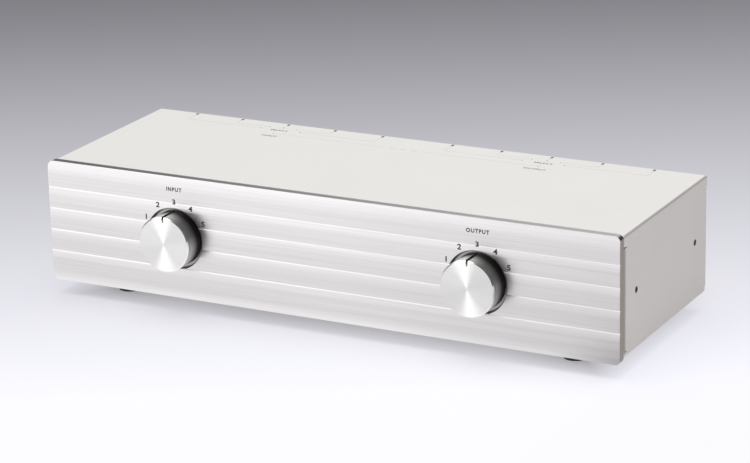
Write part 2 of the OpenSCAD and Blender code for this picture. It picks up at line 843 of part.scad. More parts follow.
module housing(side) {
    detent_r = 0.6;
    color(zinc) at_knob(side) translate([0, 0, stack_z]) difference() {
        cylinder(h = housing_len, r = housing_r);
        translate([0, 0, -over]) cylinder(h = housing_len + 2 * over, r = shaft_r + move_gap);
        for (turn = tie_angles) rotate(turn) translate([tie_circle_r, 0, -over])
            cylinder(h = tie_thread + seat_fit + over, r = tie_r + seat_fit);
        for (k = [0 : detents - 1]) rotate(k * 360 / detents) translate([housing_r, 0, -over])
            cylinder(h = housing_len + 2 * over, r = detent_r);
    }
}

module nut(side) {
    color(nickel) at_knob(side) translate([0, 0, washer_t - panel_t]) difference() {
        cylinder(h = nut_t, r = nut_af / 2 / cos(30), $fn = 6);
        translate([0, 0, -over]) cylinder(h = nut_t + 2 * over, r = bush_r + seat_fit);
    }
}

module washer(side) {
    color(nickel) at_knob(side) translate([0, 0, -panel_t]) difference() {
        cylinder(h = washer_t, r = nut_af / 2 + 1);
        translate([0, 0, -over]) cylinder(h = washer_t + 2 * over, r = bush_r + drill_fit);
    }
}

module decks(side) {
    color(phenolic) at_knob(side) for (k = [0 : last_deck]) {
        translate([0, 0, deck_z(k) - deck_t]) difference() {
            cylinder(h = deck_t, r = deck_r);
            translate([0, 0, -over]) cylinder(h = deck_t + 2 * over, r = rotor_r + move_gap);
            for (turn = tie_angles) rotate(turn) translate([tie_circle_r, 0, -over])
                cylinder(h = deck_t + 2 * over, r = tie_r + drill_fit);
        }
    }
}

// Ten selected contacts and two commons on each deck
module clips(side) {
    color(gold) at_knob(side) for (k = [0 : last_deck], turn = [0 : clip_step : 359]) {
        rotate(turn) translate([clip_in_r, -clip_w / 2, deck_z(k) - deck_t - clip_t])
            cube([clip_out_r - clip_in_r, clip_w, clip_t]);
    }
}

module spacers(side) {
    color(zinc) at_knob(side) for (k = [0 : last_deck], turn = tie_angles) {
        length = k == 0 ? deck_gap : deck_pitch - deck_t;
        rotate(turn) translate([tie_circle_r, 0, deck_z(k)]) difference() {
            cylinder(h = length, r = spacer_r);
            translate([0, 0, -over]) cylinder(h = length + 2 * over, r = tie_r + drill_fit);
        }
    }
}

module tie_screws(side) {
    tie_z = deck_z(last_deck) - deck_t;
    color(zinc) at_knob(side) for (turn = tie_angles) rotate(turn) translate([tie_circle_r, 0, tie_z])
        mirror([0, 0, 1]) pan_screw(tie_r, stack_z - tie_z + tie_thread);
}

// Wiring

function bezier(p, t) =
    pow(1 - t, 3) * p[0] + 3 * pow(1 - t, 2) * t * p[1] + 3 * (1 - t) * t * t * p[2] + t * t * t * p[3];
function bezier_way(p, t) =
    3 * pow(1 - t, 2) * (p[1] - p[0]) + 6 * (1 - t) * t * (p[2] - p[1]) + 3 * t * t * (p[3] - p[2]);
function unit(v) = v / norm(v);

// One round cable along a cubic curve that never points straight up
module cable(p) {
    n = cable_sides;
    points = [
        for (i = [0 : cable_steps])
            let (
                t = i / cable_steps,
                way = unit(bezier_way(p, t)),
                u = unit(cross(way, [0, 0, 1])),
                v = cross(u, way)
            )
            for (j = [0 : n - 1])
                bezier(p, t) + cable_r * (cos(360 * j / n) * u + sin(360 * j / n) * v)
    ];
    walls = [
        for (i = [0 : cable_steps - 1], j = [0 : n - 1])
            let (a = i * n + j, b = i * n + (j + 1) % n)
            each [[a, b, b + n], [a, b + n, a + n]]
    ];
    ends = [[for (j = [n - 1 : -1 : 0]) j], [for (j = [0 : n - 1]) cable_steps * n + j]];
    polyhedron(points, concat(walls, ends));
}

// The rear face of a clip's tail on the last deck
function clip_spot(side, turn) =
    [side * knob_spread + clip_mid_r * cos(turn), y_clip, z_axis + clip_mid_r * sin(turn)];

// From each socket's solder cups to its own clip, the upper row to the upper clips
module socket_cables(side) {
    color(jacket) for (column = columns, row = rows) {
        turn = row * (90 - side * clip_step * (column - 2));
        start = clip_spot(side, turn);
        end = [socket_x(side, column), y_cup, socket_z(row)];
        pull = [0, cable_pull, 0];
        cable([start, start + pull, end - pull, end]);
    }
}

// Between the commons of the two switches, bowed to the rear
module link_cables() {
    color(jacket) {
        link_cable(0, 180, short_link_bow);
        link_cable(180, 0, long_link_bow);
    }
}

module link_cable(input_turn, output_turn, bow) {
    start = clip_spot(input_side, input_turn);
    end = clip_spot(output_side, output_turn);
    cable([start, start + [0, bow, 0], end + [0, bow, 0], end]);
}

front_panel();
top_cover();
chassis_tray();
rear_panel();
cover_screws();
cover_nuts();
front_panel_screws();
rear_panel_screws();
foot(-1, foot_ys[0]);  // foot_front_left
foot(1, foot_ys[0]);  // foot_front_right
foot(-1, foot_ys[1]);  // foot_rear_left
foot(1, foot_ys[1]);  // foot_rear_right
foot_screws();
input_shells();
input_inserts();
input_contacts();
output_shells();
output_inserts();
output_pins();
socket_screws();
input_latch(1, 1);  // input_latch_1_upper
input_latch(2, 1);  // input_latch_2_upper
input_latch(3, 1);  // input_latch_3_upper
input_latch(4, 1);  // input_latch_4_upper
input_latch(5, 1);  // input_latch_5_upper
input_latch(1, -1);  // input_latch_1_lower
input_latch(2, -1);  // input_latch_2_lower
input_latch(3, -1);  // input_latch_3_lower
input_latch(4, -1);  // input_latch_4_lower
input_latch(5, -1);  // input_latch_5_lower
knob(input_side);  // input_knob
set_screw(input_side);  // input_set_screw
shaft(input_side);  // input_shaft
rotors(input_side);  // input_rotors
bush(input_side);  // input_bush
housing(input_side);  // input_housing
nut(input_side);  // input_nut
washer(input_side);  // input_washer
decks(input_side);  // input_decks
clips(input_side);  // input_clips
spacers(input_side);  // input_spacers
tie_screws(input_side);  // input_tie_screws
knob(output_side);  // output_knob
set_screw(output_side);  // output_set_screw
shaft(output_side);  // output_shaft
rotors(output_side);  // output_rotors
bush(output_side);  // output_bush
housing(output_side);  // output_housing
nut(output_side);  // output_nut
washer(output_side);  // output_washer
decks(output_side);  // output_decks
clips(output_side);  // output_clips
spacers(output_side);  // output_spacers
tie_screws(output_side);  // output_tie_screws
socket_cables(input_side);  // input_cables
socket_cables(output_side);  // output_cables
link_cables();
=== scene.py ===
import json
import math

import bmesh
import bpy
from mathutils import Matrix, Vector


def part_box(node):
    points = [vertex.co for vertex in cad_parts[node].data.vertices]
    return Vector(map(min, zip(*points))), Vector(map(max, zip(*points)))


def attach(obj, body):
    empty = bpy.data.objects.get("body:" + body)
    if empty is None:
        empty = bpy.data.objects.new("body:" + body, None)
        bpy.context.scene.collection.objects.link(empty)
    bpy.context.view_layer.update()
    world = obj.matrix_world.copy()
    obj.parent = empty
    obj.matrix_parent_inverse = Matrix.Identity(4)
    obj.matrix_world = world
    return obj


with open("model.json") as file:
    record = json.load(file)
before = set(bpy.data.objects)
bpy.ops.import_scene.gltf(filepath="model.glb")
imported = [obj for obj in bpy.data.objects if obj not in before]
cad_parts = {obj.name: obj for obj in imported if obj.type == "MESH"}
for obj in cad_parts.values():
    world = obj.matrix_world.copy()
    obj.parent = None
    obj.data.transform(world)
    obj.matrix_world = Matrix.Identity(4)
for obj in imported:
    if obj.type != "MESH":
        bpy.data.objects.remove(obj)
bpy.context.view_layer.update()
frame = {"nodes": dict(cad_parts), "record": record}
mm = 0.001
scene = bpy.context.scene
scene.view_settings.view_transform = "Standard"
print("frame loaded:", len(frame["nodes"]), "nodes")


# camera
cameraSetup = {
    "place": (0.91321, -1.72105, 0.68912),
    "turn": (71.8749, 1.3177, 27.3972),  # degrees
    "lens": 143.53,
    "sensor": 36,  # millimetres wide
    "shift": (-0.0008, 0.0013),
    "reach": 50,  # metres
}
cameraData = bpy.data.cameras.new("camera")
cameraData.lens = cameraSetup["lens"]
cameraData.sensor_width = cameraSetup["sensor"]
cameraData.shift_x, cameraData.shift_y = cameraSetup["shift"]
cameraData.clip_end = cameraSetup["reach"]
camera = bpy.data.objects.new("camera", cameraData)
camera.location = cameraSetup["place"]
camera.rotation_euler = [math.radians(a) for a in cameraSetup["turn"]]
scene.collection.objects.link(camera)
scene.camera = camera
print("camera set")


# node helpers
def addNode(tree, kind, inputs=None, **settings):
    made = tree.nodes.new(kind)
    for key, value in settings.items():
        setattr(made, key, value)
    for key, value in (inputs or {}).items():
        setInput(tree, made.inputs[key], value)
    return made


def setInput(tree, socket, value):
    if isinstance(value, bpy.types.NodeSocket):
        tree.links.new(value, socket)
    else:
        socket.default_value = value


def calc(tree, operation, a, b=0.0):
    return addNode(tree, "ShaderNodeMath", {0: a, 1: b}, operation=operation).outputs[0]


def product(tree, first, *others):
    for value in others:
        first = calc(tree, "MULTIPLY", first, value)
    return first


def average(tree, a, b):
    return product(tree, calc(tree, "ADD", a, b), 0.5)


def splitAxes(tree, vector):
    return addNode(tree, "ShaderNodeSeparateXYZ", {"Vector": vector}).outputs


def mapRange(tree, value, fromLow, fromHigh, toLow, toHigh, curve="LINEAR"):
    span = {"Value": value, "From Min": fromLow, "From Max": fromHigh}
    span.update({"To Min": toLow, "To Max": toHigh})
    return addNode(tree, "ShaderNodeMapRange", span, interpolation_type=curve).outputs["Result"]


def mixColour(tree, factor, a, b):
    made = addNode(tree, "ShaderNodeMix", data_type="RGBA")
    for key, value in (("Factor_Float", factor), ("A_Color", a), ("B_Color", b)):
        setInput(tree, next(s for s in made.inputs if s.identifier == key), value)
    return next(s for s in made.outputs if s.identifier == "Result_Color")


def addBump(tree, height, strength, distance):
    look = {"Height": height, "Strength": strength, "Distance": distance}
    return addNode(tree, "ShaderNodeBump", look).outputs["Normal"]


def newGroup(name, inputs, outputs):
    tree = bpy.data.node_groups.new(name, "ShaderNodeTree")
    for label, kind in inputs:
        tree.interface.new_socket(name=label, in_out="INPUT", socket_type=kind)
    for label in outputs:
        tree.interface.new_socket(name=label, in_out="OUTPUT", socket_type="NodeSocketFloat")
    return tree, addNode(tree, "NodeGroupInput"), addNode(tree, "NodeGroupOutput")


# effects that several finishes share
noiseSpan = (0.3, 0.7, 0.0, 1.0)  # the middle of a noise, spread over 0 to 1
speckLook = {
    "finer": 1.7,  # than the skin it lies in
    "span": (0.05, 0.25, 1.0, 0.0),
}


# long scratches left by a brushing belt
def makeHairlines():
    inputs = [("Vector", "NodeSocketVector"), ("Stretch", "NodeSocketVector")]
    tree, start, end = newGroup("hairlines", inputs, ["Lines"])
    place = {0: start.outputs["Vector"], 1: start.outputs["Stretch"]}
    scaled = addNode(tree, "ShaderNodeVectorMath", place, operation="MULTIPLY")
    look = {"Vector": scaled.outputs[0], "Scale": 1.0, "Detail": 4.0, "Roughness": 0.65}
    noise = addNode(tree, "ShaderNodeTexNoise", look)
    lines = mapRange(tree, noise.outputs["Fac"], *noiseSpan)
    tree.links.new(lines, end.inputs["Lines"])
    return tree


# slow, cloudy change of tone
def makeMottle():
    inputs = [("Vector", "NodeSocketVector"), ("Scale", "NodeSocketFloat")]
    tree, start, end = newGroup("mottle", inputs, ["Value"])
    look = {"Vector": start.outputs["Vector"], "Scale": start.outputs["Scale"], "Detail": 3.0}
    noise = addNode(tree, "ShaderNodeTexNoise", look)
    value = mapRange(tree, noise.outputs["Fac"], *noiseSpan)
    tree.links.new(value, end.inputs["Value"])
    return tree


# fine skin of sprayed paint, moulded plastic and rubber
def makePeel():
    inputs = [("Vector", "NodeSocketVector"), ("Scale", "NodeSocketFloat")]
    tree, start, end = newGroup("peel", inputs, ["Height", "Speck"])
    look = {"Vector": start.outputs["Vector"], "Scale": start.outputs["Scale"], "Detail": 2.0}
    noise = addNode(tree, "ShaderNodeTexNoise", look)
    finer = product(tree, start.outputs["Scale"], speckLook["finer"])
    grains = addNode(tree, "ShaderNodeTexVoronoi", {"Vector": start.outputs["Vector"], "Scale": finer})
    speck = mapRange(tree, grains.outputs["Distance"], *speckLook["span"])
    tree.links.new(noise.outputs["Fac"], end.inputs["Height"])
    tree.links.new(speck, end.inputs["Speck"])
    return tree


hairlines = makeHairlines()
mottle = makeMottle()
peel = makePeel()


def placeGroup(tree, group, **inputs):
    return addNode(tree, "ShaderNodeGroup", inputs, node_tree=group)


def newMaterial(name):
    made = bpy.data.materials.new(name)
    made.use_nodes = True
    tree = made.node_tree
    shader = next(n for n in tree.nodes if n.type == "BSDF_PRINCIPLED")
    place = addNode(tree, "ShaderNodeTexCoord").outputs["Object"]
    return made, tree, shader, place


# where the two knobs turn, in millimetres
knobAxis = {"x": 114.3, "z": 53.0}


# distance from the nearer knob's axis, and its parts across and up
def knobRadius(tree, place):
    axes = splitAxes(tree, place)
    across = calc(tree, "SUBTRACT", calc(tree, "ABSOLUTE", axes["X"]), knobAxis["x"] * mm)
    up = calc(tree, "SUBTRACT", axes["Z"], knobAxis["z"] * mm)
    squares = calc(tree, "ADD", product(tree, across, across), product(tree, up, up))
    return axes, across, up, calc(tree, "SQRT", squares)


# front panel: satin anodised aluminium, brushed from side to side, painted shade in recesses and behind
faceLook = {
    "light": (0.866, 0.842, 0.856, 1),
    "dark": (0.706, 0.686, 0.701, 1),
    "smooth": 0.28,
    "rough": 0.36,
    "streaks": (2.0, 300.0, 300.0),  # per metre, along and across the brushing
    "scratches": (9.0, 2600.0, 2600.0),
    "bump": (0.3, 0.000006),  # strength, and depth in metres
    "recessRadius": 21.75 * mm,
    "recessFrom": -66.6 * mm,  # the inner part of the recess
    # painted shade inside the recesses, darkest towards their outer edge
    "recessShadeTone": (0.62, 0.62, 0.61, 1),
    "recessDuller": 0.08,
    "recessEdgeShade": (0.20, 0.20, 0.195, 1),
    "recessEdgeFrom": 20.5 * mm,
    "recessEdgeTo": 21.4 * mm,
    "backFrom": -62.6 * mm,  # the back of the panel, painted dark as shade in the gap beside the cover
    "backShadeTone": (0.10, 0.10, 0.10, 1),
}


def makeFaceAluminium(look):
    made, tree, shader, place = newMaterial("faceAluminium")
    streaks = placeGroup(tree, hairlines, Vector=place, Stretch=look["streaks"]).outputs["Lines"]
    scratches = placeGroup(tree, hairlines, Vector=place, Stretch=look["scratches"]).outputs["Lines"]
    axes, _, _, radius = knobRadius(tree, place)
    inside = calc(tree, "LESS_THAN", radius, look["recessRadius"])
    recess = product(tree, inside, calc(tree, "GREATER_THAN", axes["Y"], look["recessFrom"]))
    metal = mixColour(tree, average(tree, streaks, scratches), look["dark"], look["light"])
    # painted shade in the recess, darker towards its outer edge
    edge = mapRange(tree, radius, look["recessEdgeFrom"], look["recessEdgeTo"], 0.0, 1.0)
    hollowShade = mixColour(tree, edge, look["recessShadeTone"], look["recessEdgeShade"])
    front = mixColour(tree, recess, metal, hollowShade)
    # the back of the panel is painted dark, as shade in the gap beside the cover's front bend
    back = calc(tree, "GREATER_THAN", axes["Y"], look["backFrom"])
    setInput(tree, shader.inputs["Base Color"], mixColour(tree, back, front, look["backShadeTone"]))
    bare = mapRange(tree, scratches, 0.0, 1.0, look["rough"], look["smooth"])
    gloss = calc(tree, "ADD", bare, product(tree, recess, look["recessDuller"]))
    setInput(tree, shader.inputs["Roughness"], gloss)
    setInput(tree, shader.inputs["Normal"], addBump(tree, scratches, *look["bump"]))
    shader.inputs["Metallic"].default_value = 1.0
    return made


# knobs: turned aluminium, the same on both because the pattern is mirrored across the middle
knobLook = {
    "light": (0.99, 0.985, 0.985, 1),
    "dark": (0.92, 0.915, 0.915, 1),
    "smooth": 0.38,
    "rough": 0.48,
    "rings": 2600.0,  # per metre
    "bump": (0.3, 0.000004),  # strength, and depth in metres
    "stretch": 0.9,  # of the gloss, along the turning marks
    "stretchTurn": 0.25,
    "rimRadius": 19.45 * mm,
    "rimShadeTone": (0.55, 0.54, 0.52, 1),  # the side's satin, painted darker as shade
    "rimDuller": 0.16,
    "rootShadeTone": (0.045, 0.045, 0.045, 1),  # and painted shade at its base, by the panel
    "rootFrom": -79.0 * mm,
    "rootTo": -71.0 * mm,
    "chamferFrom": -83.43 * mm,
    "chamferGlossier": 0.2,
    "pointerHalf": (0.2 * mm, 0.85 * mm),  # at its point and at the rim
    "pointerFrom": 15.6 * mm,
    "pointerTo": 18.8 * mm,
    "pointerWider": 0.45 * mm,  # on the side
    "pointerInk": (0.012, 0.012, 0.012, 1),
    "pointerDuller": 0.3,
}


def makeKnobAluminium(look):
    made, tree, shader, place = newMaterial("knobAluminium")
    axes, across, up, radius = knobRadius(tree, place)
    steps = product(tree, calc(tree, "ADD", radius, axes["Y"]), look["rings"])
    cut = {"W": steps, "Scale": 1.0, "Detail": 3.0}
    rings = addNode(tree, "ShaderNodeTexNoise", cut, noise_dimensions="1D")
    turned = mapRange(tree, rings.outputs["Fac"], *noiseSpan)
    rim = calc(tree, "GREATER_THAN", radius, look["rimRadius"])
    half = mapRange(tree, up, look["pointerFrom"], look["pointerTo"], *look["pointerHalf"])
    half = calc(tree, "ADD", half, product(tree, rim, look["pointerWider"]))
    inWidth = calc(tree, "LESS_THAN", calc(tree, "ABSOLUTE", across), half)
    pointer = product(tree, inWidth, calc(tree, "GREATER_THAN", up, look["pointerFrom"]))
    face = mixColour(tree, turned, look["dark"], look["light"])
    # painted shade on the knob's side, darkest near the panel
    rootShadeMask = mapRange(tree, axes["Y"], look["rootFrom"], look["rootTo"], 0.0, 1.0)
    behind = calc(tree, "GREATER_THAN", axes["Y"], look["chamferFrom"])
    chamfer = product(tree, behind, calc(tree, "SUBTRACT", 1.0, rim))
    metal = mixColour(tree, rim, face, mixColour(tree, rootShadeMask, look["rimShadeTone"], look["rootShadeTone"]))
    setInput(tree, shader.inputs["Base Color"], mixColour(tree, pointer, metal, look["pointerInk"]))
    setInput(tree, shader.inputs["Metallic"], calc(tree, "SUBTRACT", 1.0, pointer))
    satin = mapRange(tree, turned, 0.0, 1.0, look["rough"], look["smooth"])
    satin = calc(tree, "ADD", satin, product(tree, rim, look["rimDuller"]))
    bare = calc(tree, "SUBTRACT", satin, product(tree, chamfer, look["chamferGlossier"]))
    gloss = calc(tree, "ADD", bare, product(tree, pointer, look["pointerDuller"]))
    setInput(tree, shader.inputs["Roughness"], gloss)
    setInput(tree, shader.inputs["Normal"], addBump(tree, turned, *look["bump"]))
    shader.inputs["Anisotropic"].default_value = look["stretch"]
    shader.inputs["Anisotropic Rotation"].default_value = look["stretchTurn"]
    tangent = addNode(tree, "ShaderNodeTangent", direction_type="RADIAL", axis="Y")
    setInput(tree, shader.inputs["Tangent"], tangent.outputs["Tangent"])
    return made


# cover and rear panel: off-white satin paint
paintLook = {
    "light": (0.80, 0.80, 0.76, 1),
    "dark": (0.78, 0.78, 0.74, 1),
    "smooth": 0.42,
    "rough": 0.50,
    "specular": 0.3,
    "cloud": 14.0,
    "grain": 1500.0,
    "speck": 0.25,
    "bump": (0.08, 0.0002),  # strength, and depth in metres
    "foldShade": (0.47, 0.47, 0.45, 1),  # painted shade on the folds
    "foldSpan": (0.01, 0.3, 0.0, 1.0),
}


def makeCoverPaint(look):
    made, tree, shader, place = newMaterial("coverPaint")
    cloud = placeGroup(tree, mottle, Vector=place, Scale=look["cloud"]).outputs["Value"]
    skin = placeGroup(tree, peel, Vector=place, Scale=look["grain"])
    tone = calc(tree, "SUBTRACT", cloud, product(tree, skin.outputs["Speck"], look["speck"]))
    flat = mixColour(tree, tone, look["dark"], look["light"])
    normal = addNode(tree, "ShaderNodeTexCoord").outputs["Normal"]
    lean = addNode(tree, "ShaderNodeVectorMath", {0: normal}, operation="ABSOLUTE").outputs[0]
    ways = splitAxes(tree, lean)
    # painted shade where the sheet bends at the cover's edges
    turned = product(tree, calc(tree, "MAXIMUM", ways["Y"], ways["Z"]), ways["X"])
    foldShade = mapRange(tree, turned, *look["foldSpan"])
    setInput(tree, shader.inputs["Base Color"], mixColour(tree, foldShade, flat, look["foldShade"]))
    gloss = mapRange(tree, cloud, 0.0, 1.0, look["rough"], look["smooth"])
    setInput(tree, shader.inputs["Roughness"], gloss)
    setInput(tree, shader.inputs["Normal"], addBump(tree, skin.outputs["Height"], *look["bump"]))
    shader.inputs["Specular IOR Level"].default_value = look["specular"]
    return made


# plated steel and brass: tone, gloss and brushing of each, and the skin they share
platedLooks = {
    "zincSteel": {
        "light": (0.62, 0.64, 0.66, 1),
        "dark": (0.44, 0.46, 0.47, 1),
        "smooth": 0.28,
        "rough": 0.46,
        "stretch": (40.0, 900.0, 900.0),
    },
    "socketNickel": {
        "light": (0.62, 0.60, 0.57, 1),
        "dark": (0.48, 0.465, 0.44, 1),
        "smooth": 0.24,
        "rough": 0.36,
        "stretch": (120.0, 900.0, 1400.0),
    },
    "contactBrass": {
        "light": (0.86, 0.64, 0.28, 1),
        "dark": (0.66, 0.45, 0.16, 1),
        "smooth": 0.18,
        "rough": 0.32,
        "stretch": (1400.0, 200.0, 1400.0),
    },
    "latchSteel": {
        "light": (0.70, 0.70, 0.68, 1),
        "dark": (0.55, 0.55, 0.53, 1),
        "smooth": 0.20,
        "rough": 0.34,
        "stretch": (200.0, 2000.0, 2000.0),
    },
}
platedSkin = {
    "cloud": 90.0,
    "bump": (0.06, 0.0001),  # strength, and depth in metres
}


def makePlated(name):
    look = platedLooks[name]
    made, tree, shader, place = newMaterial(name)
    lines = placeGroup(tree, hairlines, Vector=place, Stretch=look["stretch"]).outputs["Lines"]
    cloud = placeGroup(tree, mottle, Vector=place, Scale=platedSkin["cloud"]).outputs["Value"]
    tone = average(tree, lines, cloud)
    setInput(tree, shader.inputs["Base Color"], mixColour(tree, tone, look["dark"], look["light"]))
    gloss = mapRange(tree, tone, 0.0, 1.0, look["rough"], look["smooth"])
    setInput(tree, shader.inputs["Roughness"], gloss)
    setInput(tree, shader.inputs["Normal"], addBump(tree, lines, *platedSkin["bump"]))
    shader.inputs["Metallic"].default_value = 1.0
    return made


# dull pieces: black screws, rubber feet, moulded insulators, switch decks, cable jackets, printing ink
dullLooks = {
    "blackOxide": {"light": (0.030, 0.030, 0.032, 1), "dark": (0.010, 0.010, 0.011, 1),
                   "rough": 0.38, "grain": 1800.0, "bump": 0.10},
    "footRubber": {"light": (0.026, 0.026, 0.026, 1), "dark": (0.012, 0.012, 0.012, 1),
                   "rough": 0.72, "grain": 1400.0, "bump": 0.25},
    "blackInsulator": {"light": (0.034, 0.034, 0.036, 1), "dark": (0.018, 0.018, 0.019, 1),
                       "rough": 0.5, "grain": 1700.0, "bump": 0.15},
    "deckPhenolic": {"light": (0.30, 0.15, 0.065, 1), "dark": (0.19, 0.085, 0.034, 1),
                     "rough": 0.48, "grain": 900.0, "bump": 0.12},
    "cableJacket": {"light": (0.060, 0.062, 0.070, 1), "dark": (0.036, 0.038, 0.044, 1),
                    "rough": 0.55, "grain": 1300.0, "bump": 0.15},
    "darkInk": {"light": (0.050, 0.050, 0.052, 1), "dark": (0.022, 0.022, 0.024, 1),
                "rough": 0.55, "grain": 2200.0, "bump": 0.05},
    "paleInk": {"light": (0.66, 0.62, 0.60, 1), "dark": (0.58, 0.54, 0.53, 1),
                "rough": 0.55, "grain": 2200.0, "bump": 0.05},
}
dullSkin = {
    "cloud": 220.0,
    "glossSpread": 0.06,  # each way
    "bumpDepth": 0.0002,
}


def makeDull(name):
    look = dullLooks[name]
    made, tree, shader, place = newMaterial(name)
    cloud = placeGroup(tree, mottle, Vector=place, Scale=dullSkin["cloud"]).outputs["Value"]
    skin = placeGroup(tree, peel, Vector=place, Scale=look["grain"])
    tone = average(tree, cloud, skin.outputs["Speck"])
    setInput(tree, shader.inputs["Base Color"], mixColour(tree, tone, look["dark"], look["light"]))
    spread = dullSkin["glossSpread"]
    gloss = mapRange(tree, cloud, 0.0, 1.0, look["rough"] + spread, look["rough"] - spread)
    setInput(tree, shader.inputs["Roughness"], gloss)
    bump = addBump(tree, skin.outputs["Height"], look["bump"], dullSkin["bumpDepth"])
    setInput(tree, shader.inputs["Normal"], bump)
    return made


finishes = {
    "face_aluminium": makeFaceAluminium(faceLook),
    "knob_aluminium": makeKnobAluminium(knobLook),
    "cover_paint": makeCoverPaint(paintLook),
    "zinc_steel": makePlated("zincSteel"),
    "socket_nickel": makePlated("socketNickel"),
    "contact_brass": makePlated("contactBrass"),
    "latch_steel": makePlated("latchSteel"),
    "black_screw": makeDull("blackOxide"),
    "foot_rubber": makeDull("footRubber"),
    "black_insulator": makeDull("blackInsulator"),
    "deck_phenolic": makeDull("deckPhenolic"),
    "cable_jacket": makeDull("cableJacket"),
}
darkInk = makeDull("darkInk")
paleInk = makeDull("paleInk")

for part in frame["record"]["subparts"]:
    cadNode = frame["nodes"][part["node"]]
    for materialSlot in cadNode.material_slots:
        materialSlot.material = finishes[part["material_slot"]]
print("finishes set:", len(finishes))


# printing
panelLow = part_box("front_panel")[0]
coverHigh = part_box("top_cover")[1]

# the lapped face, as heights above the panel's lower edge and set-backs, in millimetres
bandShape = {
    "height": 86.7,
    "lines": (22.2, 37.6, 53.0, 68.4),
    "run": 7.0,
    "depth": 0.6,
    "lip": 1.0,  # the steeper strip under each line
    "lipTilt": 15.0,  # degrees
    "browRun": 10.5,
    "browDepth": 1.2,
    "crease": 0.02,
}


def setBack(h):
    for line in bandShape["lines"]:
        if line - bandShape["run"] < h < line:
            rise = h - line + bandShape["run"]
            plain = min(rise, bandShape["run"] - bandShape["lip"])
            tilt = math.tan(math.radians(bandShape["lipTilt"]))
            return lapDepth(plain, bandShape["run"], bandShape["depth"]) + (rise - plain) * tilt
    over = h - bandShape["height"] + bandShape["browRun"]
    return lapDepth(over, bandShape["browRun"], bandShape["browDepth"]) if over > 0 else 0.0


def lapDepth(rise, run, depth):
    radius = (run * run + depth * depth) / (2 * depth)
    return max(0.0, radius - bandShape["crease"] - math.sqrt(radius * radius - rise * rise))


# type and ink, in millimetres
inkShape = {
    "capital": 0.72,  # height of a capital, as a share of the type size
    "curveSteps": 4,
    "thick": 0.04,
    "sink": 0.01,
    "mergeWithin": 1e-6,
    "cutWithin": 1e-5,
}


def makeWord(words, height, weight, spacing=1.0):
    curve = bpy.data.curves.new("word", "FONT")
    curve.body = words
    curve.align_x = "CENTER"
    curve.align_y = "CENTER"
    curve.size = height / inkShape["capital"]
    curve.space_character = spacing
    curve.offset = height * weight
    curve.resolution_u = inkShape["curveSteps"]
    holder = bpy.data.objects.new("word", curve)
    scene.collection.objects.link(holder)
    bpy.context.view_layer.update()
    flat = holder.evaluated_get(bpy.context.evaluated_depsgraph_get())
    mesh = bpy.data.meshes.new_from_object(flat)
    shape = bmesh.new()
    shape.from_mesh(mesh)
    bpy.data.objects.remove(holder)
    bpy.data.curves.remove(curve)
    bpy.data.meshes.remove(mesh)
    return shape


def thicken(shape):
    bmesh.ops.remove_doubles(shape, verts=shape.verts, dist=inkShape["mergeWithin"])
    made = bmesh.ops.extrude_face_region(shape, geom=shape.faces[:])
    moved = [v for v in made["geom"] if isinstance(v, bmesh.types.BMVert)]
    bmesh.ops.translate(shape, verts=moved, vec=(0, 0, inkShape["thick"]))
    bmesh.ops.recalc_face_normals(shape, faces=shape.faces[:])


def gather(target, shape):
    mesh = bpy.data.meshes.new("gather")
    shape.to_mesh(mesh)
    target.from_mesh(mesh)
    bpy.data.meshes.remove(mesh)
    shape.free()


def finishPiece(shape, name, material, body):
    mesh = bpy.data.meshes.new(name)
    shape.to_mesh(mesh)
    shape.free()
    mesh.materials.append(material)
    piece = bpy.data.objects.new(name, mesh)
    scene.collection.objects.link(piece)
    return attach(piece, body)


# dials: plain numbers round each knob and the word above it
dialPrint = {
    "across": 0.7,  # of the whole dial, to the right
    "axisUp": 42.9,  # above the panel's lower edge
    "radius": 26.0,
    "numbers": (1, 2, 3, 4, 5),
    "upright": 3,  # the number straight above the knob
    "step": 30.0,  # degrees
    "numberHeight": 3.6,
    "numberWeight": 0.042,
    "numberWiden": 1.18,
    "wordUp": 77.9,
    "wordAcross": 0.5,
    "wordHeight": 2.7,
    "wordWeight": 0.045,
    "wordSpacing": 1.2,
    "bends": (0.0, 1.0, 2.0, 3.5, 5.0, 6.0),  # below each line of the face
}
inkLevels = [line - bend for line in bandShape["lines"] for bend in dialPrint["bends"]]


def makeDial(name, side, word):
    setup = dialPrint
    dial = bmesh.new()
    for number in setup["numbers"]:
        turn = math.radians((number - setup["upright"]) * setup["step"])
        mark = makeWord(str(number), setup["numberHeight"], setup["numberWeight"])
        bmesh.ops.scale(mark, verts=mark.verts, vec=(setup["numberWiden"], 1, 1))
        thicken(mark)
        up = setup["axisUp"] + setup["radius"] * math.cos(turn)
        bmesh.ops.translate(mark, verts=mark.verts, vec=(setup["radius"] * math.sin(turn), up, 0))
        gather(dial, mark)
    sign = makeWord(word, setup["wordHeight"], setup["wordWeight"], setup["wordSpacing"])
    thicken(sign)
    bmesh.ops.translate(sign, verts=sign.verts, vec=(setup["wordAcross"], setup["wordUp"], 0))
    gather(dial, sign)
    cutSetup = {"plane_no": (0, 1, 0), "dist": inkShape["cutWithin"]}
    for level in inkLevels:  # cut where the face bends, so that the ink follows it
        cut = dial.verts[:] + dial.edges[:] + dial.faces[:]
        bmesh.ops.bisect_plane(dial, geom=cut, plane_co=(0, level, 0), **cutSetup)
    for vert in dial.verts:
        across, up, out = vert.co
        vert.co = (
            (side * knobAxis["x"] + setup["across"] + across) * mm,
            panelLow.y + (setBack(up) - out + inkShape["sink"]) * mm,
            panelLow.z + up * mm,
        )
    return finishPiece(dial, name, darkInk, "case")


makeDial("input_dial_print", -1, "INPUT")
makeDial("output_dial_print", 1, "OUTPUT")
print("dials printed")


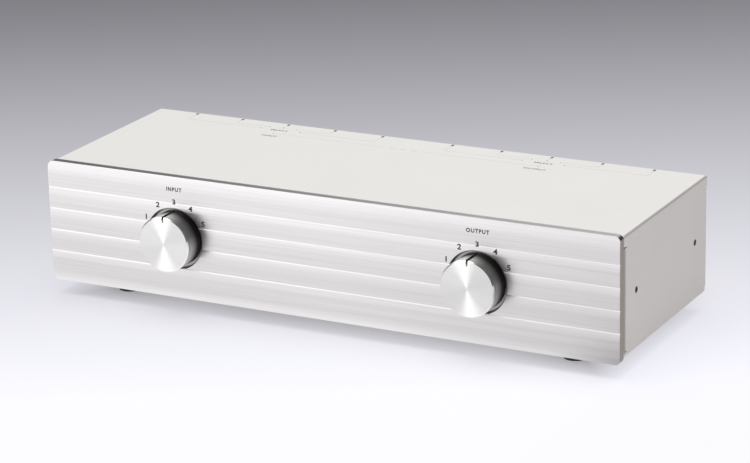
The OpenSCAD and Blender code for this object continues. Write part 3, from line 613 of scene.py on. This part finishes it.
# top of the cover: a plain routing diagram, in millimetres from the middle and from the rear edge
topPrint = {
    "columns": (27.5, 65.5, 103.5, 141.5, 179.5),
    "across": -1.7,  # of the whole diagram
    "markFrom": 1.7,
    "markTo": 3.2,
    "markWidth": 1.6,
    "leadEnds": (16.0, 11.1, 10.5, 11.1, 16.0),
    "dotsAcross": (16.5, 11.0, 0.0, 10.5, 15.0),  # from the middle column
    "dotRadius": 0.5,
    "dotSides": 16,
    "dotGap": 1.2,
    "lineWidth": 0.36,
    "linkBack": 25.0,  # the line between the two groups
    "linkStart": 15.5,
    "linkGap": 2.0,
    "dashes": (-10.0, -1.5, 7.0),  # in the middle of that line
    "dashLength": 3.4,
    "dashWidth": 0.9,
    "selectBack": 17.0,
    "wordBack": 31.6,
    "wordHeight": 2.6,
    "wordWeight": 0.02,
    "wordSpacing": 1.25,
}
middleColumn = len(topPrint["columns"]) // 2
groupX = topPrint["columns"][middleColumn]


def addBar(shape, x0, y0, x1, y1, width):
    along = Vector((x1 - x0, y1 - y0))
    turn = math.atan2(along.y, along.x)
    place = Matrix.Translation(((x0 + x1) / 2, (y0 + y1) / 2, 0)) @ Matrix.Rotation(turn, 4, "Z")
    size = Matrix.Diagonal((along.length + width, width, 1, 1))
    bmesh.ops.create_grid(shape, x_segments=1, y_segments=1, size=0.5, matrix=place @ size)


def addDot(shape, x, y):
    disc = {"segments": topPrint["dotSides"], "radius": topPrint["dotRadius"]}
    place = Matrix.Translation((x, y, 0))
    bmesh.ops.create_circle(shape, cap_ends=True, matrix=place, **disc)


def settleOnCover(shape, name, material):
    thicken(shape)
    for vert in shape.verts:
        across, back, out = vert.co
        vert.co = (
            (across + topPrint["across"]) * mm,
            coverHigh.y - back * mm,
            coverHigh.z + (out - inkShape["sink"]) * mm,
        )
    bmesh.ops.recalc_face_normals(shape, faces=shape.faces[:])
    return finishPiece(shape, name, material, "case")


def makeTopPrint():
    setup = topPrint
    dark = bmesh.new()
    pale = bmesh.new()
    thin = setup["lineWidth"]
    linkBack = setup["linkBack"]
    linkEnd = groupX - setup["linkGap"]
    for side in (-1, 1):
        for k, x in enumerate(setup["columns"]):
            lead = setup["leadEnds"][k]
            toward = -1 if k > middleColumn else 1
            dotX = groupX - toward * setup["dotsAcross"][k]
            addBar(dark, side * x, setup["markFrom"], side * x, setup["markTo"], setup["markWidth"])
            addBar(pale, side * x, setup["markTo"], side * x, lead, thin)
            if k != middleColumn:
                addBar(pale, side * x, lead, side * (dotX - toward * setup["dotGap"]), lead, thin)
            addDot(dark, side * dotX, lead)
        addDot(dark, side * groupX, linkBack)
        addBar(pale, side * setup["linkStart"], linkBack, side * linkEnd, linkBack, thin)
    for x in setup["dashes"]:
        addBar(pale, x, linkBack, x + setup["dashLength"], linkBack, setup["dashWidth"])
    settleOnCover(pale, "routing_lines", paleInk)
    settleOnCover(dark, "routing_marks", darkInk)


def makeTopWord(name, side, words, back):
    setup = topPrint
    sign = makeWord(words, setup["wordHeight"], setup["wordWeight"], setup["wordSpacing"])
    bmesh.ops.scale(sign, verts=sign.verts, vec=(1, -1, 1))  # the layout runs from the rear edge
    bmesh.ops.translate(sign, verts=sign.verts, vec=(side * groupX, back, 0))
    return settleOnCover(sign, name, darkInk)


makeTopPrint()
makeTopWord("input_select_word", -1, "SELECT", topPrint["selectBack"])
makeTopWord("output_select_word", 1, "SELECT", topPrint["selectBack"])
makeTopWord("input_word", -1, "INPUT", topPrint["wordBack"])
makeTopWord("output_word", 1, "OUTPUT", topPrint["wordBack"])
print("cover printed")


# studio: a pale floor that darkens to the rear, a soft light overhead and a plain sky
# four numbers together are a range, from and to, and the levels at its two ends
studio = {
    "floorHalf": 6.0,
    "white": (1.0, 1.0, 1.0, 1),
    "grey": (0.222, 0.218, 0.238, 1),
    "away": (-0.4668, 0.8844, 0.0),  # along the floor, away from the viewer
    "whiteFrom": -1.4,  # metres along that way
    "whiteTo": -0.17,
    "greyFrom": -4.0,
    "greyTo": 0.95,
    "fade": 1.35,
    "glowTint": (0.965, 0.965, 1.05, 1),
    # a warm tint painted into the floor's reflection in metal, behind the panel's face
    "warm": (1.06, 0.99, 0.91, 1),
    "warmSpan": (-0.06, -0.03, 0.0, 1.0),
    "shadowShare": 0.71,
    "keyPlace": (-0.12, -0.10, 2.0),
    "keySize": 2.0,
    "keyPower": 32.0,
    "keyTint": (0.965, 1.0, 0.965),
}

# what polished metal sees of the floor: brighter to the left and close to the front, dim beside the case
floorSheen = {
    "lean": 0.53,  # metres to the right for each metre back
    "side": (0.006, 0.286, 0.977, 0.82),
    "left": (0.10, -0.06, 0.0, 0.04),
    "leftFront": (-0.19, -0.30, 0.0, 1.0),
    "low": (-0.17, -0.115, 1.0, 0.945),
    "far": (-0.26, -0.45),
    "farLeft": (-0.15, 0.0, 1.22, 1.30),
    "farRight": (0.09, 0.20, 1.30, 1.22),
    "near": (-0.10, -0.076, 1.0, 1.22),
    "back": (-0.075, -0.03, 1.0, 0.85),
    "beside": (0.16, 0.225, 1.0, 0.42),
    "besideFront": (0.16, 0.225, 1.0, 0.72),
    "besideFrom": (-0.17, -0.10),
}


def makeFloorSheen(tree, place, look):
    axes = splitAxes(tree, place)
    x = axes["X"]
    y = axes["Y"]
    across = calc(tree, "SUBTRACT", x, product(tree, y, look["lean"]))
    level = mapRange(tree, across, *look["side"], "SMOOTHSTEP")
    left = mapRange(tree, across, *look["left"])
    rise = product(tree, left, mapRange(tree, y, *look["leftFront"]))
    low = calc(tree, "ADD", mapRange(tree, y, *look["low"]), rise)
    far = mapRange(tree, y, *look["far"], 1.0, mapRange(tree, across, *look["farLeft"]))
    far = calc(tree, "MINIMUM", far, mapRange(tree, across, *look["farRight"]))
    near = mapRange(tree, y, *look["near"])
    back = mapRange(tree, y, *look["back"])
    beside = mapRange(tree, x, *look["beside"])
    front = mapRange(tree, x, *look["besideFront"])
    dim = mapRange(tree, y, *look["besideFrom"], front, beside)
    return product(tree, level, far, low, near, back, dim)


# how far the floor's shadow is lifted: before the case, at its ends and well away from it
shadowLift = {
    "under": (-0.044, -0.070, 0.0, 0.34),
    "front": (-0.070, -0.110, 0.0, 0.12),
    "ends": (0.18, 0.215, 0.0, 0.55),
    "behind": (0.09, 0.16, 0.0, 0.55),
    "ahead": (-0.16, -0.40, 0.0, 0.55),
}


def makeShadowLift(tree, place, look, least):
    axes = splitAxes(tree, place)
    y = axes["Y"]
    under = mapRange(tree, y, *look["under"])
    most = calc(tree, "ADD", under, mapRange(tree, y, *look["front"]))
    ends = mapRange(tree, calc(tree, "ABSOLUTE", axes["X"]), *look["ends"])
    behind = mapRange(tree, y, *look["behind"])
    ahead = mapRange(tree, y, *look["ahead"])
    for lift in (ends, behind, ahead):
        most = calc(tree, "MAXIMUM", most, lift)
    return calc(tree, "ADD", least, most)


def makeFloorMaterial(look):
    made = bpy.data.materials.new("studioFloor")
    made.use_nodes = True
    tree = made.node_tree
    tree.nodes.clear()
    place = addNode(tree, "ShaderNodeTexCoord").outputs["Object"]
    way = addNode(tree, "ShaderNodeVectorMath", {0: place, 1: look["away"]}, operation="DOT_PRODUCT")
    rise = mapRange(tree, way.outputs["Value"], look["greyTo"], look["whiteTo"], 0.0, 1.0)
    fall = mapRange(tree, way.outputs["Value"], look["greyFrom"], look["whiteFrom"], 0.0, 1.0)
    level = product(tree, calc(tree, "POWER", rise, look["fade"]), fall)
    tone = mixColour(tree, level, look["grey"], look["white"])
    tinted = mixColour(tree, level, look["grey"], look["glowTint"])
    rays = addNode(tree, "ShaderNodeLightPath").outputs
    glossy = rays["Is Glossy Ray"]
    behind = mapRange(tree, splitAxes(tree, place)["Y"], *look["warmSpan"])
    mirrored = mixColour(tree, behind, look["white"], look["warm"])
    glowTone = mixColour(tree, glossy, tinted, mirrored)
    strength = mapRange(tree, glossy, 0.0, 1.0, 1.0, makeFloorSheen(tree, place, floorSheen))
    lit = addNode(tree, "ShaderNodeBsdfDiffuse", {"Color": tone})
    glow = addNode(tree, "ShaderNodeEmission", {"Color": glowTone, "Strength": strength})
    seen = calc(tree, "MAXIMUM", rays["Is Camera Ray"], rays["Is Transmission Ray"])
    lift = makeShadowLift(tree, place, shadowLift, 1.0 - look["shadowShare"])
    share = calc(tree, "MAXIMUM", product(tree, seen, lift), glossy)
    both = addNode(tree, "ShaderNodeMixShader", {0: share, 1: lit.outputs[0], 2: glow.outputs[0]})
    end = addNode(tree, "ShaderNodeOutputMaterial")
    tree.links.new(both.outputs[0], end.inputs["Surface"])
    return made


def makeStudio(look):
    shape = bmesh.new()
    bmesh.ops.create_grid(shape, x_segments=1, y_segments=1, size=look["floorHalf"])
    mesh = bpy.data.meshes.new("floor")
    shape.to_mesh(mesh)
    shape.free()
    mesh.materials.append(makeFloorMaterial(look))
    floor = bpy.data.objects.new("floor", mesh)
    scene.collection.objects.link(floor)
    lamp = bpy.data.lights.new("keyLight", "AREA")
    lamp.shape = "DISK"
    lamp.size = look["keySize"]
    lamp.energy = look["keyPower"]
    lamp.color = look["keyTint"]
    key = bpy.data.objects.new("keyLight", lamp)
    key.location = look["keyPlace"]
    key.rotation_mode = "QUATERNION"
    key.rotation_quaternion = Vector(look["keyPlace"]).to_track_quat("Z", "Y")
    key.visible_glossy = False
    scene.collection.objects.link(key)


# a bright band above the front horizon, brighter to the left
frontBand = {
    "left": (-0.37, -0.45, 0.45, 1.52),
    "farLeft": (-0.48, -0.53, 1.0, 0.65),
    "middle": (-0.30, -0.10, 0.0, 0.30),
    "ahead": (-0.55, -0.78, 0.0, 1.0),
    "right": (0.55, 0.25, 0.35, 1.0),
    "high": (0.45, 0.95, 1.0, 0.0),
    "horizon": (0.06, 0.20, 1.26, 1.0),
}


def makeFrontBand(tree, way, look):
    axes = splitAxes(tree, way)
    x = axes["X"]
    z = axes["Z"]
    level = mapRange(tree, x, *look["left"], "SMOOTHSTEP")
    level = product(tree, level, mapRange(tree, x, *look["farLeft"]))
    level = calc(tree, "ADD", level, mapRange(tree, x, *look["middle"]))
    ahead = mapRange(tree, axes["Y"], *look["ahead"])
    right = mapRange(tree, x, *look["right"])
    high = mapRange(tree, z, *look["high"])
    return product(tree, level, ahead, right, high, mapRange(tree, z, *look["horizon"]))


# one soft patch of the sky, given by its middle and the cosines at its edge and at full strength
def makePatch(tree, way, middle, edge, full, strength):
    turned = addNode(tree, "ShaderNodeVectorMath", {0: way, 1: middle}, operation="DOT_PRODUCT")
    return mapRange(tree, turned.outputs["Value"], edge, full, 0.0, strength, "SMOOTHSTEP")


skyLook = {
    "white": (1, 1, 1, 1),
    "fill": (0.43, 0.386, 0.425, 1),
    "backdrop": (0.24, 0.236, 0.255, 1),
    "back": ((-0.05, 0.95, 0.30), 0.865, 0.95, 0.62),
    "backRight": (0.0, 0.2, 1.0, 0.0),
    "above": ((-0.56, -0.49, 0.66), 0.80, 0.95, 2.15),
    "rest": (0.0, 0.3, 0.12, 0.02),
}


def makeSky(look):
    world = bpy.data.worlds.new("sky")
    world.use_nodes = True
    scene.world = world
    tree = world.node_tree
    tree.nodes.clear()
    way = addNode(tree, "ShaderNodeTexCoord").outputs["Generated"]
    front = makeFrontBand(tree, way, frontBand)
    x = splitAxes(tree, way)["X"]
    back = makePatch(tree, way, *look["back"])
    back = product(tree, back, mapRange(tree, x, *look["backRight"]))
    above = makePatch(tree, way, *look["above"])
    rest = mapRange(tree, x, *look["rest"])
    level = calc(tree, "ADD", calc(tree, "ADD", front, back), calc(tree, "ADD", above, rest))
    sheen = addNode(tree, "ShaderNodeBackground", {"Color": look["white"], "Strength": level})
    fill = addNode(tree, "ShaderNodeBackground", {"Color": look["fill"], "Strength": 1.0})
    drop = addNode(tree, "ShaderNodeBackground", {"Color": look["backdrop"], "Strength": 1.0})
    rays = addNode(tree, "ShaderNodeLightPath").outputs
    seen = calc(tree, "MAXIMUM", rays["Is Camera Ray"], rays["Is Transmission Ray"])
    shown = addNode(tree, "ShaderNodeMixShader", {0: seen, 1: fill.outputs[0], 2: drop.outputs[0]})
    layers = {0: rays["Is Glossy Ray"], 1: shown.outputs[0], 2: sheen.outputs[0]}
    both = addNode(tree, "ShaderNodeMixShader", layers)
    end = addNode(tree, "ShaderNodeOutputWorld")
    tree.links.new(both.outputs[0], end.inputs["Surface"])


makeStudio(studio)
makeSky(skyLook)
print("studio lit")
